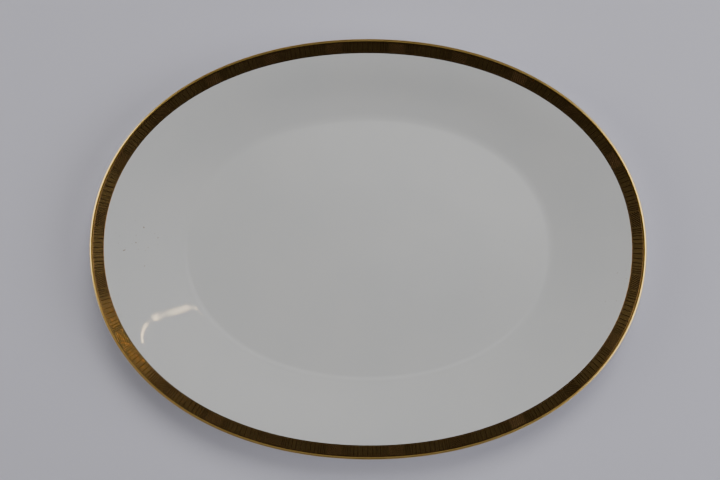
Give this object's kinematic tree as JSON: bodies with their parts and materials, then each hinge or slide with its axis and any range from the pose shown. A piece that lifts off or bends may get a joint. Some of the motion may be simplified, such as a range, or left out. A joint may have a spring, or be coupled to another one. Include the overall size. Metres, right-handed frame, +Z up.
{
  "type": "serving platter",
  "caption": "Oval white porcelain serving platter with a shallow well, a wide sloping rim and an etched gold band along the lip.",
  "frame": {"origin": "on the table, under the middle of the platter, which lies on its foot ring", "axes": "+X along the platter's long way, +Y along its short way, +Z up out of the well"},
  "size_m": [0.38, 0.287, 0.03],
  "materials": {
    "porcelain": "unglazed white porcelain biscuit, matt",
    "glaze": "clear glaze over white porcelain, glossy",
    "polished_gold": "burnished gold line, bright",
    "plain_gold": "plain burnished gold border, darker and a little red",
    "etched_gold": "gold over an etched pattern of fine lines"
  },
  "bodies": {
    "root": {"china_body": "porcelain", "glaze_coat": "glaze", "base_glaze": "glaze", "gold_edge_line": "polished_gold", "outer_gold_line": "plain_gold", "etched_gold_band": "etched_gold", "inner_gold_line": "plain_gold"}
  },
  "joints": []
}
